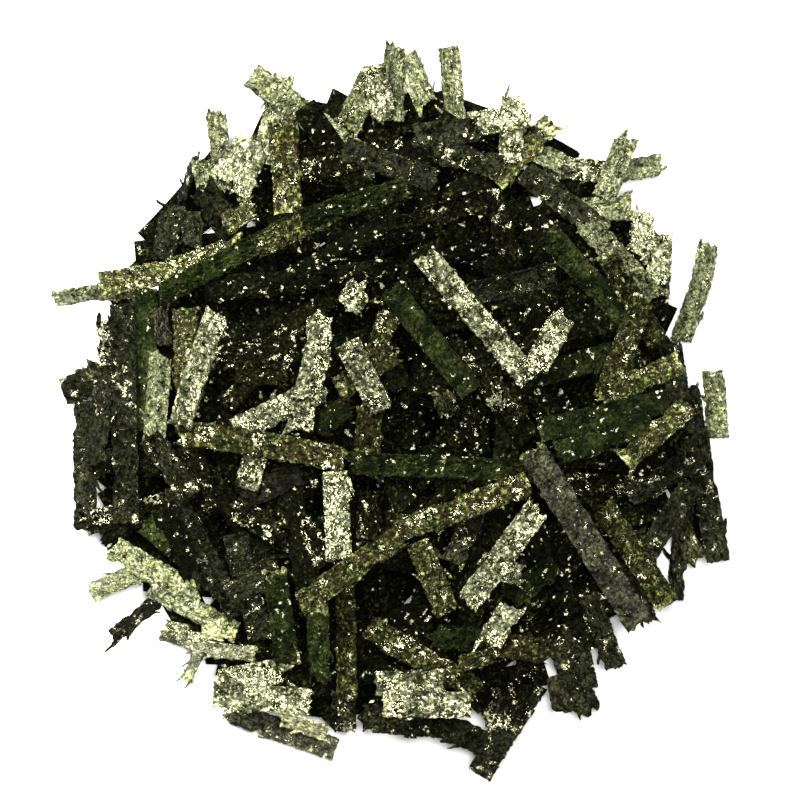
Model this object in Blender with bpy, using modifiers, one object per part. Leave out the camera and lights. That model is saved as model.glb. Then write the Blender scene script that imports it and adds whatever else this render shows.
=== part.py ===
"""Shredded nori: a loose, domed heap of dried seaweed sheet cut into narrow shreds.

Metres, +Z up. The heap rests on the plane z = 0, with +Y the far side seen from above.
The shreds are laid one after another. Each settles on a height map of all that lies below
it, and tips only as far as that lets it sink. Most lower shreds cling together in tangles,
and the visible ones at the top stay separate.
"""

import math

import bmesh
import bpy
import numpy as np
from mathutils.bvhtree import BVHTree

MM = 0.001
HEAP_NAME = "shredded nori"

SHRED_WIDTH = 3.4 * MM
SHRED_THICKNESS = 0.3 * MM
CLEARANCE = 0.32 * MM
CLING_DEPTH = 0.26 * MM
CORE_THICKNESS = 0.2 * MM
STEEPEST_PITCH = 0.8
TIPPING = 6 * MM
SETTLING_STEPS = 18

SEED = 18
LARGEST_GROUP_COUNT = 60
GROUP_REACH = 21 * MM
FLAT_SHREDS = 14
FLAT_RADIUS = 36 * MM
FLAT_LENGTH = (17 * MM, 24 * MM)
FLAT_SHIFT = 2 * MM
FLAT_TRIES = 30
FLAT_GAP = 0.001 * MM
BED_SHREDS = 110
BED_RADIUS = 39 * MM
BED_ROLL = math.radians(9)
CORE_SHREDS = 60
CORE_RADIUS = 34 * MM
CORE_NARROWING = 0.5
CORE_ROLL = math.radians(25)
HIDDEN_LENGTH = (13 * MM, 27 * MM)
HIDDEN_REACH = 38 * MM
HIDDEN_ARCH = (-1.2 * MM, 1.6 * MM)
HIDDEN_BOW = 1 * MM
HIDDEN_FINISHES = ("olive", "green", "dark", "brown")
HIDDEN_CHOICES = 10
HIDDEN_TRIES = 40
VISIBLE_ROLL = 7
VISIBLE_TWIST = 8
VISIBLE_ARCH = (-0.5 * MM, 0.6 * MM)
VISIBLE_TRIES = 20
LOOSER_WITH_EACH_TRY = 1 / 6
FLAT_SEGMENTS, HIDDEN_SEGMENTS, VISIBLE_SEGMENTS = 2, 3, 4
DEEPER_THAN_WIDE = 1.07

MAP_CELL = 0.25 * MM
MAP_HALF = 56 * MM
SAMPLE_STEP = 0.2 * MM
EDGE_MARGIN = 0.3 * MM
GOLDEN = (3 - math.sqrt(5)) / 2

FINISHES = {
    "slate": ((0.060, 0.068, 0.055), 0.75),
    "plum": ((0.060, 0.052, 0.050), 0.75),
    "olive": ((0.045, 0.047, 0.022), 0.55),
    "brown": ((0.055, 0.042, 0.028), 0.50),
    "green": ((0.035, 0.048, 0.028), 0.60),
    "dark": ((0.020, 0.024, 0.015), 0.60),
    "gloss": ((0.140, 0.140, 0.105), 0.30),
    "pale": ((0.260, 0.290, 0.120), 0.60),
}

# The visible shreds, lowest first, in millimetres from the heap's middle:
# one end, the other end, width seen from above, sideways bow, finish.
RIM = {
    "left_rim": (
        ((-44, 14), (-31, 15.5), 2.1, 0, "slate"),
        ((-39.5, 1), (-39.5, -16), 3.2, 0, "slate"),
        ((-42.5, 2), (-35, 4.5), 3.9, 0, "slate"),
        ((-41, 6), (-35.5, 3), 2.9, 0, "pale"),
        ((-40, -8), (-32.5, -5.5), 3.1, 0, "slate"),
        ((-39.5, -15), (-29, -12.5), 3.4, 0, "gloss"),
        ((-38, -18), (-30, -12), 2.9, 0, "slate"),
        ((-39, -24), (-31, -20.5), 2.7, 0, "slate"),
        ((-37, -30.5), (-29, -24), 2.2, 0, "slate"),
        ((-36, -18), (-24, -25), 3.5, 0, "slate"),
        ((-32.5, -14), (-22, -23), 3.4, 0, "dark"),
        ((-31, -23), (-19.5, -29.5), 2.9, 0, "green"),
        ((-30.5, -28.5), (-21, -31), 2.9, 0, "gloss"),
        ((-24, -30), (-26.5, -35.5), 1.8, 0, "plum"),
        ((-24.5, -29), (-19.5, -29.5), 2.0, 0, "pale"),
    ),
    "near_rim": (
        ((-26, -31), (-16.5, -32), 2.3, 0, "gloss"),
        ((-23, -35.5), (-11.5, -33.5), 3.4, 0, "gloss"),
        ((-22, -39), (-7, -44.5), 3.1, 0, "plum"),
        ((-23, -37), (-9.5, -38), 3.6, 0, "gloss"),
        ((-15.5, -39.5), (-8, -42), 2.3, 0, "pale"),
        ((-6, -36.5), (-6, -42), 3.4, 0, "gloss"),
        ((-3.5, -40), (8.5, -41), 3.9, 0, "slate"),
        ((5, -40), (14.5, -44.5), 3.6, 0, "slate"),
        ((19, -35.5), (11.5, -47.5), 3.5, 0, "slate"),
        ((12.5, -36.5), (14.5, -42.5), 3.4, 0, "gloss"),
        ((21.5, -34.5), (22.5, -40), 2.6, 0, "pale"),
        ((21, -29.5), (26.5, -40.5), 3.4, 0, "green"),
        ((23.5, -27.5), (25.5, -36.5), 3.1, 0, "slate"),
        ((22, -23.5), (27.5, -32), 3.5, 0, "dark"),
        ((25.5, -23.5), (29.5, -34), 2.6, 0, "slate"),
        ((19.5, -28), (15.5, -40), 3.6, 0, "olive"),
    ),
    "right_rim": (
        ((30.5, -20), (34, -29), 2.6, 0, "slate"),
        ((39, -8), (37, -25), 2.6, 0, "slate"),
        ((36, -12), (40.5, -21), 2.6, 0, "pale"),
        ((42, 5), (42.5, -4), 2.9, 0, "slate"),
        ((38.5, 3.5), (42.5, -20), 3.2, 0, "slate"),
        ((41.5, 22), (37, 7.5), 3.0, 0.7, "slate"),
        ((36, 10), (39, -8), 3.1, 0, "slate"),
        ((33, 25.5), (32.5, 19), 3.1, 0, "gloss"),
        ((35, 23.5), (34.5, 14), 3.4, 0, "gloss"),
        ((31.5, 26), (24, 25.5), 3.4, 0, "slate"),
        ((37, 32), (26, 30), 3.0, 0, "slate"),
        ((29, 30.5), (18, 31.5), 3.2, 0, "gloss"),
        ((31.5, 37), (27.5, 27), 3.2, 0, "slate"),
    ),
    "far_rim": (
        ((15, 35), (23.5, 31), 2.9, 0, "slate"),
        ((21.5, 37.5), (13.5, 29), 3.0, 0, "olive"),
        ((22, 37.5), (19, 35), 2.9, 0, "pale"),
        ((16, 40.5), (15.5, 31.5), 3.2, 0, "gloss"),
        ((10, 36.5), (18, 38), 3.6, 0, "gloss"),
        ((7.5, 47), (8.5, 37), 2.9, 0, "slate"),
        ((2, 46), (5.5, 37.5), 3.1, 0, "slate"),
        ((0.5, 48), (0.5, 37), 2.7, 0, "slate"),
        ((-2, 43.5), (-6, 35.5), 3.6, 0, "green"),
        ((-2, 44.5), (-0.5, 36), 3.4, 0, "gloss"),
        ((-22.5, 39.5), (-21.5, 27), 2.5, 0, "slate"),
        ((-25, 34), (-27.5, 25.5), 1.2, 0, "olive"),
        ((-28, 26.5), (-29.5, 19), 3.2, 0, "slate"),
        ((-25.5, 25.5), (-26, 19), 3.1, 0, "slate"),
        ((-24.5, 33), (-23, 26.5), 3.2, 0, "green"),
        ((-25, 29.5), (-20, 22), 3.9, 0, "green"),
        ((-18, 35.5), (-22, 29.5), 3.1, 0, "gloss"),
        ((-13.5, 43.5), (-16.5, 31.5), 3.2, 0, "green"),
        ((-16.5, 35), (-20, 26.5), 3.2, 0, "gloss"),
        ((-14, 37.5), (-13, 25), 3.9, 0, "brown"),
        ((-18, 43), (-1, 30.5), 3.6, 0, "slate"),
    ),
}

DOME = {
    "far_band": (
        ((-21.5, 23.5), (-16.5, 26.5), 3.1, 0, "olive"),
        ((-11.5, 30.5), (2, 33.5), 3.4, 0, "olive"),
        ((-6, 33.5), (6.5, 29), 3.4, 0, "slate"),
        ((2, 35), (11.5, 36), 3.4, 0, "green"),
        ((5, 33.5), (14.5, 31), 3.4, 0, "slate"),
        ((-37.5, 16), (-18, 21.5), 3.4, -0.8, "olive"),
        ((-30.5, 14), (-11.5, 24), 3.1, 0, "dark"),
        ((-18, 20), (-5, 26.5), 3.1, 0, "olive"),
        ((-11.5, 24), (3, 28.5), 2.9, 0, "dark"),
        ((-16, 15), (1.5, 25), 3.1, 0, "dark"),
        ((0.5, 23), (12, 27), 3.1, 0, "brown"),
        ((-8, 18), (7, 23.5), 2.3, 0, "dark"),
        ((-15.5, 15.5), (1.5, 18), 2.9, 0, "dark"),
        ((1.5, 17.5), (14.5, 21), 2.6, 0, "dark"),
        ((12.5, 28.5), (16, 18), 3.1, 0, "brown"),
        ((17, 20.5), (22, 25), 2.9, 0, "dark"),
        ((17, 30.5), (27.5, 22.5), 3.4, 0, "slate"),
        ((24, 25), (34, 14), 3.4, 0, "slate"),
        ((20, 22.5), (31, 11), 3.4, 0, "dark"),
        ((27.5, 20), (34.5, 8), 3.1, 0, "olive"),
        ((22.5, 17.5), (8, 14), 3.1, 0, "slate"),
    ),
    "right_side": (
        ((18, 4), (32.5, 8), 3.4, 0, "dark"),
        ((32.5, 14), (27.5, 1), 3.4, 0, "olive"),
        ((26, 1), (37.5, 6), 3.2, 0, "olive"),
        ((19, -3), (36, 1), 3.1, 0, "dark"),
        ((20.5, -6), (34, -1.5), 3.1, 0, "dark"),
        ((30, -7), (39, 1), 3.1, 0, "olive"),
        ((22, -9.5), (35, -10.5), 3.1, 0, "brown"),
        ((30, -12), (40.5, -6), 3.1, 0, "slate"),
        ((32.5, -20), (39, -9.5), 3.1, 0, "green"),
        ((28.5, -17), (36.5, -18), 3.1, 0, "green"),
    ),
    "left_side": (
        ((-36.5, 11.5), (-35.5, -0.5), 3.1, 0, "gloss"),
        ((-31.5, 15.5), (-31.5, -3), 3.0, 0, "dark"),
        ((-37, 4.5), (-38, -8), 2.9, 0, "slate"),
        ((-34.5, 14.5), (-34, -15), 3.5, 0, "slate"),
        ((-30, 14), (-29, 8), 1.7, 0, "plum"),
        ((-29.5, 8), (-30.5, -5), 3.1, 0, "slate"),
        ((-25.5, -4), (-23.5, -14), 3.2, 0, "olive"),
        ((-28.5, -10), (-19.5, -27), 3.1, 0, "slate"),
        ((-29, -12), (-25, -22.5), 3.1, 0, "dark"),
        ((-31, -3.5), (-25.5, -11.5), 3.1, 0, "slate"),
        ((-21, -12), (-13, -17), 3.4, 0, "olive"),
        ((-20, -16), (-16.5, -30), 3.4, 0, "slate"),
        ((-21.5, -25), (-14.5, -20), 3.4, 0, "slate"),
        ((-15, -20), (-13, -33.5), 3.4, 0, "dark"),
        ((-9.5, -25), (-9, -36.5), 3.1, 0, "dark"),
        ((-23, 6.5), (-11.5, 7.5), 3.4, 0, "olive"),
        ((-22, -0.5), (-10, 13), 3.2, 0, "brown"),
        ((-20, 4.5), (-11.5, 4.5), 3.4, 0, "olive"),
        ((-26.5, 13), (-26, 0.5), 3.2, 0, "brown"),
        ((-11.5, -14.5), (-8, -20), 3.4, 0, "olive"),
        ((-19.5, -12), (-11, -8), 3.4, 0, "plum"),
    ),
    "middle": (
        ((-1.5, 9.5), (1.5, 2.5), 3.1, 0, "dark"),
        ((0, 12.5), (-3, 4), 3.1, 0, "olive"),
        ((-7, 2.5), (2, 7.5), 3.1, 0, "olive"),
        ((6.5, 9), (17, -1.5), 3.4, 0, "olive"),
        ((-11.5, -4), (-4.5, 1), 3.1, 0, "dark"),
        ((-2.5, 1.5), (-3, -7.5), 3.6, 0, "brown"),
        ((1.5, 1.5), (10.5, 0.5), 2.6, 0, "dark"),
        ((6.5, 3), (8, -1.5), 2.9, 0, "green"),
        ((10.5, 1), (11.5, -6), 2.9, 0, "dark"),
        ((-3, -17), (-2.5, -10.5), 2.9, 0, "olive"),
        ((8, -20), (11.5, -12), 3.1, 0, "green"),
        ((-5, -30), (6.5, -25), 3.1, 0, "dark"),
        ((18, -14.5), (23.5, -27.5), 3.4, 0, "dark"),
    ),
    "near_side": (
        ((4, -29), (13, -30), 3.4, 0, "dark"),
        ((14.5, -25), (22, -20), 3.4, 0, "dark"),
        ((-3, -28), (11.5, -36.5), 3.4, 0, "olive"),
        ((6.5, -33.5), (14.5, -31.5), 2.1, 0, "olive"),
        ((11.5, -30), (22, -31.5), 3.4, 0, "olive"),
        ((-6, -22.5), (-5.5, -38.5), 2.7, 0, "brown"),
        ((-2.5, -35.5), (7.5, -35), 3.5, 0, "gloss"),
        ((-1, -38), (10.5, -38), 3.5, 0, "gloss"),
    ),
    "crown": (
        ((-0.5, 16), (10.5, 2), 3.4, 0, "dark"),
        ((-7, -7), (17.5, -8), 3.2, 0, "dark"),
        ((-20, -3), (-7.5, 3), 3.5, 0, "gloss"),
        ((-16.5, -4), (-18.5, -10.5), 3.4, 0, "gloss"),
        ((-28.5, -3), (-4.5, -7), 3.5, 0.4, "olive"),
        ((-22, 13), (-27, -2.5), 3.4, 0, "gloss"),
        ((-7, -8), (-6.5, -20), 3.5, 0, "gloss"),
        ((18, -9.5), (0.5, -16), 3.4, 0, "brown"),
        ((3.5, -17), (7.5, -26.5), 3.4, 0, "olive"),
        ((2.5, -15.5), (-12, -25.5), 3.4, 0, "olive"),
        ((16, -25), (11.5, -32), 3.4, 0, "gloss"),
        ((11.5, -20), (17, -21.5), 2.9, 0, "gloss"),
        ((19.5, -12), (9.5, -25.5), 3.5, 0, "gloss"),
        ((27, -12), (36, -25.5), 3.4, 0, "olive"),
        ((17.5, -4.5), (32.5, -28.5), 3.9, 0, "plum"),
        ((-2.5, 17), (-6, 12), 3.5, 0, "gloss"),
        ((-11, 2), (-11.5, -3), 3.5, 0, "gloss"),
        ((-9, 13.5), (-11, 1), 3.6, 0.7, "gloss"),
        ((-5.5, 8.5), (-1, -0.5), 3.5, 0, "gloss"),
        ((4, 20), (18, 3.5), 3.4, 0, "gloss"),
        ((12, 2), (14.5, -1), 1.7, 0, "gloss"),
        ((23, 13.5), (18, 4), 3.5, 0, "gloss"),
    ),
}

APART = ("near_side", "crown")


class Shred:
    """One strip of nori: its plan, how it is turned, and where it comes to rest."""

    def __init__(self, start, end, width=SHRED_WIDTH, finish="olive", segments=HIDDEN_SEGMENTS):
        self.start = np.array(start, float)
        self.end = np.array(end, float)
        self.width = width
        self.finish = finish
        self.segments = segments
        self.roll = 0.0
        self.twist = 0.0
        self.arch = 0.0
        self.bow = 0.0
        self.height = 0.0
        self.pitch = 0.0

    def middle(self):
        return (self.start + self.end) / 2

    def length(self):
        return float(np.hypot(*(self.end - self.start)))

    def edges(self):
        """The two long edges at each segment's ends, as points in space."""
        share = np.linspace(0, 1, self.segments + 1)
        forward = (self.end - self.start) / self.length()
        side = np.array((-forward[1], forward[0]))
        hump = 4 * share * (1 - share)
        plan = (
            self.start * (1 - share)[:, None]
            + self.end * share[:, None]
            + side * (self.bow * hump)[:, None]
        )
        rise = self.arch * (hump - 2 / 3)
        rise += self.height + self.pitch * (share - 0.5) * self.length()
        centre = np.column_stack([plan, rise])
        roll = self.roll + self.twist * (share - 0.5)
        across = np.column_stack(
            [side[0] * np.cos(roll), side[1] * np.cos(roll), np.sin(roll)]
        )
        half = self.width / 2
        return centre + across * half, centre - across * half

    def samples(self):
        """Points over the sheet's middle surface, their normals, and their distance along it."""
        left, right = self.edges()
        along_count = max(2, math.ceil(self.length() / SAMPLE_STEP))
        across_count = max(2, math.ceil(self.width / SAMPLE_STEP))
        share = np.linspace(0, 1, along_count + 1)
        segment = np.minimum((share * self.segments).astype(int), self.segments - 1)
        part = (share * self.segments - segment)[:, None]
        upper = left[segment] * (1 - part) + left[segment + 1] * part
        lower = right[segment] * (1 - part) + right[segment + 1] * part
        ahead = (left + right)[segment + 1] - (left + right)[segment]
        normal = np.cross(ahead, upper - lower)
        normal /= np.linalg.norm(normal, axis=1)[:, None]
        over = np.linspace(0, 1, across_count + 1)[None, :, None]
        points = lower[:, None] * (1 - over) + upper[:, None] * over
        normals = np.repeat(normal[:, None], across_count + 1, axis=1)
        distance = np.repeat(((share - 0.5) * self.length())[:, None], across_count + 1, axis=1)
        return points, normals, distance

    def corners(self, thickness=SHRED_THICKNESS):
        """The four corners of the shred's section at each segment's ends."""
        left, right = self.edges()
        ahead = np.gradient(left + right, axis=0)
        normal = np.cross(ahead, left - right)
        normal *= thickness / 2 / np.linalg.norm(normal, axis=1)[:, None]
        return np.stack([left + normal, left - normal, right - normal, right + normal], axis=1)

    def core(self):
        """The closed surface of a thinner shred inside this one, to test what it cuts into."""
        faces = [(0, 1, 2, 3)]
        for ring in range(0, 4 * self.segments, 4):
            for corner in range(4):
                after = (corner + 1) % 4
                faces.append((ring + corner, ring + after, ring + 4 + after, ring + 4 + corner))
        last = 4 * self.segments
        faces.append((last + 3, last + 2, last + 1, last))
        corners = self.corners(CORE_THICKNESS).reshape(-1, 3).tolist()
        return BVHTree.FromPolygons(corners, faces)


class Pile:
    """All that has been laid, in groups of shreds that cling together.

    Each group has a height map of its own upper side, and one that is a margin wider. The
    bare cells are those that no shred covers.
    """

    def __init__(self):
        cells = int(2 * MAP_HALF / MAP_CELL)
        self.groups = []
        self.regions = []
        self.tops = np.full((LARGEST_GROUP_COUNT, cells, cells), -1, np.float32)
        self.wide_tops = self.tops.copy()
        self.bare = np.ones((cells, cells), bool)

    def cells(self, points):
        index = ((points[..., :2] + MAP_HALF) / MAP_CELL).astype(int)
        return index[..., 0], index[..., 1]

    def groups_near(self, shred):
        """The groups that have something below the shred, nearest first."""
        count = len(self.groups)
        column = self.tops[(slice(count), *self.cells(shred.samples()[0]))]
        away = {}
        for group in range(count):
            if column[group].max() > 0:
                away[group] = np.hypot(*(self.groups[group][0].middle() - shred.middle()))
        return [group for group in sorted(away, key=away.get) if away[group] < GROUP_REACH]

    def settle(self, shred, own=None):
        """Lowers the shred onto the pile. It sinks into its own group and clears all others.

        It tips towards the lower side for as long as that brings its middle down enough, so
        it is level over a ridge near its middle and follows a slope.
        """
        shred.height = 0.0
        shred.pitch = 0.0
        points, normals, distance = shred.samples()
        under = points - normals * SHRED_THICKNESS / 2
        cells = self.cells(under)
        reach = self.wide_tops[(slice(max(len(self.groups), 1)), *cells)] + CLEARANCE
        if own is not None:
            reach[own] = self.tops[(own, *cells)] - CLING_DEPTH
        need = (np.maximum(reach.max(axis=0), 0) - under[..., 2]).ravel()
        distance = distance.ravel()
        low, high = -STEEPEST_PITCH, STEEPEST_PITCH
        for _ in range(SETTLING_STEPS):
            first = low + GOLDEN * (high - low)
            second = high - GOLDEN * (high - low)
            first_cost = (need - first * distance).max() + TIPPING * first**2
            second_cost = (need - second * distance).max() + TIPPING * second**2
            if first_cost < second_cost:
                high = second
            else:
                low = first
        shred.pitch = float(low + high) / 2
        shred.height = float((need - shred.pitch * distance).max())

    def clings(self, shred, own):
        """Whether the settled shred really cuts into a shred of its own group."""
        core = shred.core()
        return any(core.overlap(other.laid_core) for other in self.groups[own])

    def add(self, shred, own):
        """Adds the shred's upper side to its group's maps."""
        shred.laid_core = shred.core()
        self.groups[own].append(shred)
        points, normals, _ = shred.samples()
        top = points + normals * SHRED_THICKNESS / 2
        np.maximum.at(self.tops[own], self.cells(top), top[..., 2])
        self.bare[self.cells(top)] = False
        for shift_x in (-EDGE_MARGIN, 0, EDGE_MARGIN):
            for shift_y in (-EDGE_MARGIN, 0, EDGE_MARGIN):
                cells = self.cells(top[..., :2] + (shift_x, shift_y))
                np.maximum.at(self.wide_tops[own], cells, top[..., 2])

    def bare_under(self, shred):
        """How much of the shred has nothing below it."""
        return int(self.bare[self.cells(shred.samples()[0])].sum())

    def start_group(self, shred, region):
        self.groups.append([])
        self.regions.append(region)
        self.add(shred, len(self.groups) - 1)

    def join_group(self, make, tries):
        """Lays a shred that clings to a group near it. Returns whether one took hold."""
        for attempt in range(tries):
            shred = make(attempt)
            for group in self.groups_near(shred):
                self.settle(shred, group)
                if self.clings(shred, group):
                    self.add(shred, group)
                    return True
        return False


def straight_shred(middle, yaw, length, segments):
    """A shred from its middle, its direction and its length."""
    reach = np.array((math.cos(yaw), math.sin(yaw))) * length / 2
    return Shred(middle - reach, middle + reach, segments=segments)


def lay_first_shreds(pile, random):
    """A few shreds lie flat on the surface in a sunflower's spacing, clear of the others."""
    golden_angle = math.pi * (3 - math.sqrt(5))
    for number in range(FLAT_SHREDS):
        distance = FLAT_RADIUS * math.sqrt((number + 0.5) / FLAT_SHREDS)
        angle = number * golden_angle
        spot = np.array((math.cos(angle), math.sin(angle) * DEEPER_THAN_WIDE)) * distance
        for _ in range(FLAT_TRIES):
            middle = spot + random.uniform(-FLAT_SHIFT, FLAT_SHIFT, 2)
            yaw = random.uniform(0, math.pi)
            shred = straight_shred(middle, yaw, random.uniform(*FLAT_LENGTH), FLAT_SEGMENTS)
            pile.settle(shred)
            if shred.height < SHRED_THICKNESS / 2 + FLAT_GAP:
                pile.start_group(shred, "lower")
                break


def hidden_place(random, radius):
    """A straight shred at random, kept within the hidden shreds' reach."""
    distance = radius * math.sqrt(random.uniform())
    angle = random.uniform(0, 2 * math.pi)
    middle = np.array((math.cos(angle), math.sin(angle) * DEEPER_THAN_WIDE)) * distance
    yaw = random.uniform(0, math.pi)
    shred = straight_shred(middle, yaw, random.uniform(*HIDDEN_LENGTH), HIDDEN_SEGMENTS)
    for end in (shred.start.copy(), shred.end.copy()):
        beyond = np.hypot(end[0], end[1] / DEEPER_THAN_WIDE) - HIDDEN_REACH
        if beyond > 0:
            inwards = end * beyond / np.hypot(*end)
            shred.start -= inwards
            shred.end -= inwards
    return shred


def hidden_shred(pile, random, radius, largest_roll):
    """A shred inside the heap, at the barest of a few places."""
    places = [hidden_place(random, radius) for _ in range(HIDDEN_CHOICES)]
    shred = max(places, key=pile.bare_under)
    shred.roll = random.uniform(-largest_roll, largest_roll)
    shred.twist = random.uniform(-largest_roll, largest_roll)
    shred.arch = random.uniform(*HIDDEN_ARCH) * largest_roll / CORE_ROLL
    shred.bow = random.uniform(-HIDDEN_BOW, HIDDEN_BOW)
    shred.finish = str(random.choice(HIDDEN_FINISHES))
    return shred


def visible_shred(row, random, attempt):
    """A shred of the tables. One that looks narrow is a full width one, rolled on its side."""
    start, end, seen_width, bow, finish = row
    seen_width *= MM
    width = max(SHRED_WIDTH, seen_width)
    ends = np.array((start, end)) * MM
    shred = Shred(*ends, width, finish, VISIBLE_SEGMENTS)
    looseness = 1 + attempt * LOOSER_WITH_EACH_TRY
    lean = math.acos(seen_width / width) * random.choice((-1, 1))
    shred.roll = lean + math.radians(random.uniform(-VISIBLE_ROLL, VISIBLE_ROLL)) * looseness
    shred.twist = math.radians(random.uniform(-VISIBLE_TWIST, VISIBLE_TWIST))
    shred.arch = random.uniform(*VISIBLE_ARCH) * looseness
    shred.bow = bow * MM
    return shred


def lay_visible(pile, table, random):
    """Lays the shreds of one table. Those at the top stay apart, as do any that take no hold."""
    for region, rows in table.items():
        tries = 0 if region in APART else VISIBLE_TRIES
        for row in rows:
            if not pile.join_group(lambda attempt: visible_shred(row, random, attempt), tries):
                shred = visible_shred(row, random, 0)
                pile.settle(shred)
                pile.start_group(shred, region)


def centre_heap(pile):
    """Moves the heap so that the middle of its box is over the origin."""
    shreds = [shred for group in pile.groups for shred in group]
    corners = np.concatenate([shred.corners()[..., :2].reshape(-1, 2) for shred in shreds])
    middle = (corners.min(axis=0) + corners.max(axis=0)) / 2
    for shred in shreds:
        shred.start = shred.start - middle
        shred.end = shred.end - middle


def lay_heap():
    """Lays every shred. Returns the pile."""
    random = np.random.default_rng(SEED)
    pile = Pile()
    lay_first_shreds(pile, random)
    for _ in range(BED_SHREDS):
        pile.join_group(lambda _: hidden_shred(pile, random, BED_RADIUS, BED_ROLL), HIDDEN_TRIES)
    lay_visible(pile, RIM, random)
    for number in range(CORE_SHREDS):
        radius = CORE_RADIUS * (1 - CORE_NARROWING * number / CORE_SHREDS)
        pile.join_group(lambda _: hidden_shred(pile, random, radius, CORE_ROLL), HIDDEN_TRIES)
    lay_visible(pile, DOME, random)
    centre_heap(pile)
    return pile


def finish_material(name):
    """The dried seaweed's colour and gloss for one kind of shred."""
    material = bpy.data.materials.get(name)
    if material:
        return material
    colour, roughness = FINISHES[name]
    material = bpy.data.materials.new(name)
    material.use_nodes = True
    shader = material.node_tree.nodes["Principled BSDF"]
    shader.inputs["Base Color"].default_value = (*colour, 1)
    shader.inputs["Roughness"].default_value = roughness
    shader.inputs["Metallic"].default_value = 0
    return material


def shred_object(name, shred, collection):
    """A strip of sheet bent to the shred's resting shape and given its thickness."""
    sheet = bmesh.new()
    bmesh.ops.create_grid(sheet, x_segments=shred.segments, y_segments=1, size=0.5)
    left, right = shred.edges()
    for corner in sheet.verts:
        station = round((corner.co.x + 0.5) * shred.segments)
        corner.co = (left if corner.co.y > 0 else right)[station]
    mesh = bpy.data.meshes.new(name)
    sheet.to_mesh(mesh)
    sheet.free()
    mesh.materials.append(finish_material(shred.finish))
    piece = bpy.data.objects.new(name, mesh)
    collection.objects.link(piece)
    solidify = piece.modifiers.new("sheet thickness", "SOLIDIFY")
    solidify.thickness = SHRED_THICKNESS
    solidify.offset = 0
    return piece


def tangle_object(name, shreds, collection, helpers):
    """Shreds that cling together, joined in one solid."""
    tangle = shred_object(name, shreds[0], collection)
    operands = bpy.data.collections.new(f"{name} shreds")
    helpers.children.link(operands)
    for number, shred in enumerate(shreds[1:], start=2):
        operand = shred_object(f"{name}_{number:02d}", shred, operands)
        operand.hide_render = True
        operand.display_type = "WIRE"
    join = tangle.modifiers.new("clinging shreds", "BOOLEAN")
    join.operation = "UNION"
    join.solver = "EXACT"
    join.operand_type = "COLLECTION"
    join.collection = operands


def build():
    for old in list(bpy.data.objects):
        bpy.data.objects.remove(old)
    heap = bpy.data.collections.new(HEAP_NAME)
    helpers = bpy.data.collections.new("tangle shreds to join")
    bpy.context.scene.collection.children.link(heap)
    bpy.context.scene.collection.children.link(helpers)
    pile = lay_heap()
    counts = {}
    for shreds, region in zip(pile.groups, pile.regions):
        kind = f"{region}_shred" if len(shreds) == 1 else f"{region}_tangle"
        counts[kind] = counts.get(kind, 0) + 1
        name = f"{kind}_{counts[kind]:02d}"
        if len(shreds) == 1:
            shred_object(name, shreds[0], heap)
        else:
            tangle_object(name, shreds, heap, helpers)
    sizes = [len(shreds) for shreds in pile.groups]
    print(f"{sum(sizes)} shreds in {len(sizes)} groups: {sizes}")


build()
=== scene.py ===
"""Shredded nori: the finished look of the heap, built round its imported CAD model.

Every shred is laid again as the CAD lays it, then made as a thin, crinkled sheet with worn
edges and torn ends, inside the plain strip that stands for it in the CAD.
"""

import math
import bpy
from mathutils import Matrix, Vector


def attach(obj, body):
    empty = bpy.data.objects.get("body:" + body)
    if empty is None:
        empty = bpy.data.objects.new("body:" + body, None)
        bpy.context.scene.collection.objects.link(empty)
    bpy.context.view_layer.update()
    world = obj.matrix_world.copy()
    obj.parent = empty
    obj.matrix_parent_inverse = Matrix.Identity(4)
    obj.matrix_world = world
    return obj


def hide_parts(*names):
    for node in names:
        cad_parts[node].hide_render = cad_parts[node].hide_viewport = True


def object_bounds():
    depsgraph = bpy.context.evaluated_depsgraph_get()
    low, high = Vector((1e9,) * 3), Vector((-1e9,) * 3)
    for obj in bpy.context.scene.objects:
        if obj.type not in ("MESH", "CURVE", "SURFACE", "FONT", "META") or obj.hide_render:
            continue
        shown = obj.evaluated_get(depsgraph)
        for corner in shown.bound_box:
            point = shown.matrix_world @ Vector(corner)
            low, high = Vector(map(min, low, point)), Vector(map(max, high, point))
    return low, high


bl_info = {
    "name": "Shredded Nori",
    "version": (1, 0, 0),
    "blender": (4, 5, 0),
    "location": "3D View > Sidebar > Nori",
    "description": "Builds a heap of shredded nori round its packed CAD model",
    "category": "Add Mesh",
}

import bmesh
import bpy
import numpy as np
from bpy.props import FloatProperty, FloatVectorProperty, PointerProperty
from mathutils import Vector, noise
from mathutils.bvhtree import BVHTree

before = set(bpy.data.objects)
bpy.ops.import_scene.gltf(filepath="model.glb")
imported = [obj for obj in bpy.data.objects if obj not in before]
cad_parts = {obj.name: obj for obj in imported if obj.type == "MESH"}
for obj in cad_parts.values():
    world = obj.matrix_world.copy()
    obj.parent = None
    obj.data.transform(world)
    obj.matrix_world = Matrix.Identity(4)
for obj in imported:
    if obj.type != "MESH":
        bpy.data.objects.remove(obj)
CAD_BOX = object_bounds()

# The laying of the shreds, with the CAD's own sizes and seed

MM = 0.001
SHRED_WIDTH = 3.4 * MM
SHRED_THICKNESS = 0.3 * MM
CLEARANCE = 0.32 * MM
CLING_DEPTH = 0.26 * MM
CORE_THICKNESS = 0.2 * MM
STEEPEST_PITCH = 0.8
TIPPING = 6 * MM
SETTLING_STEPS = 18

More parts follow.
